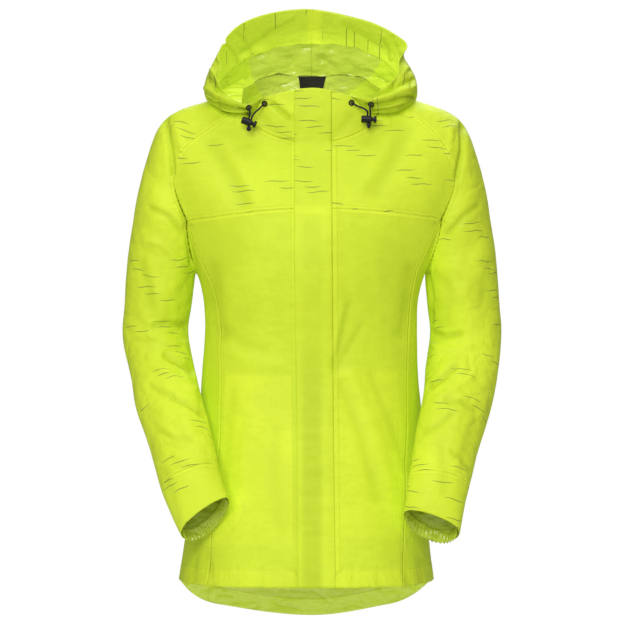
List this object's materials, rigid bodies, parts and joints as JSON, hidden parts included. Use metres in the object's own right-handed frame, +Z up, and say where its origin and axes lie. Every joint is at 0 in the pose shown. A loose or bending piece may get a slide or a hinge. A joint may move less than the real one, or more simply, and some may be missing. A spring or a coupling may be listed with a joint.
{
  "type": "rain jacket",
  "caption": "Hooded hip-length rain jacket in thin coated cloth with raglan sleeves, a storm flap over the zip, gathered cuffs and cord locks at the hood.",
  "frame": {"origin": "centre of the neck, level with the inner ends of the shoulders", "axes": "+Z up along the wearer's spine, +X towards the wearer's left, front of the jacket towards -Y"},
  "size_m": [0.5405, 0.3046, 0.8758],
  "materials": {
    "shell_cloth": "matte coated ripstop in neon yellow, with grey printed dashes on the yoke, flap top, hood and sleeves",
    "pocket_cloth": "thin coated cloth",
    "zip_tape": "woven tape",
    "label_cloth": "black woven satin",
    "black_plastic": "moulded, satin",
    "elastic_cord": "braided elastic"
  },
  "bodies": {
    "jacket": {"front_yoke_right": "shell_cloth", "front_yoke_left": "shell_cloth", "front_lower_right": "shell_cloth", "front_lower_left": "shell_cloth", "side_panel_right": "shell_cloth", "side_panel_left": "shell_cloth", "sleeve_front_right": "shell_cloth", "sleeve_front_left": "shell_cloth", "sleeve_back_right": "shell_cloth", "sleeve_back_left": "shell_cloth", "cuff_right": "shell_cloth", "cuff_left": "shell_cloth", "cuff_elastic_right": "shell_cloth", "cuff_elastic_left": "shell_cloth", "collar_right": "shell_cloth", "collar_left": "shell_cloth", "hood_right": "shell_cloth", "hood_left": "shell_cloth", "hood_facing_right": "shell_cloth", "hood_facing_left": "shell_cloth", "back_panel": "shell_cloth", "storm_flap": "shell_cloth", "pocket_bag_right": "pocket_cloth", "pocket_bag_left": "pocket_cloth", "front_zip": "zip_tape", "neck_label": "label_cloth", "hanger_loop": "label_cloth", "lock_barrel_right": "black_plastic", "lock_barrel_left": "black_plastic", "eyelet_outer_right": "black_plastic", "eyelet_outer_left": "black_plastic", "eyelet_inner_right": "black_plastic", "eyelet_inner_left": "black_plastic", "cord_outer_right": "elastic_cord", "cord_outer_left": "elastic_cord", "cord_inner_right": "elastic_cord", "cord_inner_left": "elastic_cord", "cord_knot_right": "elastic_cord", "cord_knot_left": "elastic_cord"},
    "plunger_right": {"lock_plunger_right": "black_plastic"},
    "plunger_left": {"lock_plunger_left": "black_plastic"}
  },
  "joints": [
    {"name": "plunger_right_slide", "type": "slide", "parent": "jacket", "child": "plunger_right", "axis": [-0.9397, 0, 0.342], "range_m": [0, 0.0024], "stiffness_N_per_m": 100},
    {"name": "plunger_left_slide", "type": "slide", "parent": "jacket", "child": "plunger_left", "axis": [-0.9994, 0, 0.0349], "range_m": [0, 0.0024], "stiffness_N_per_m": 100}
  ]
}
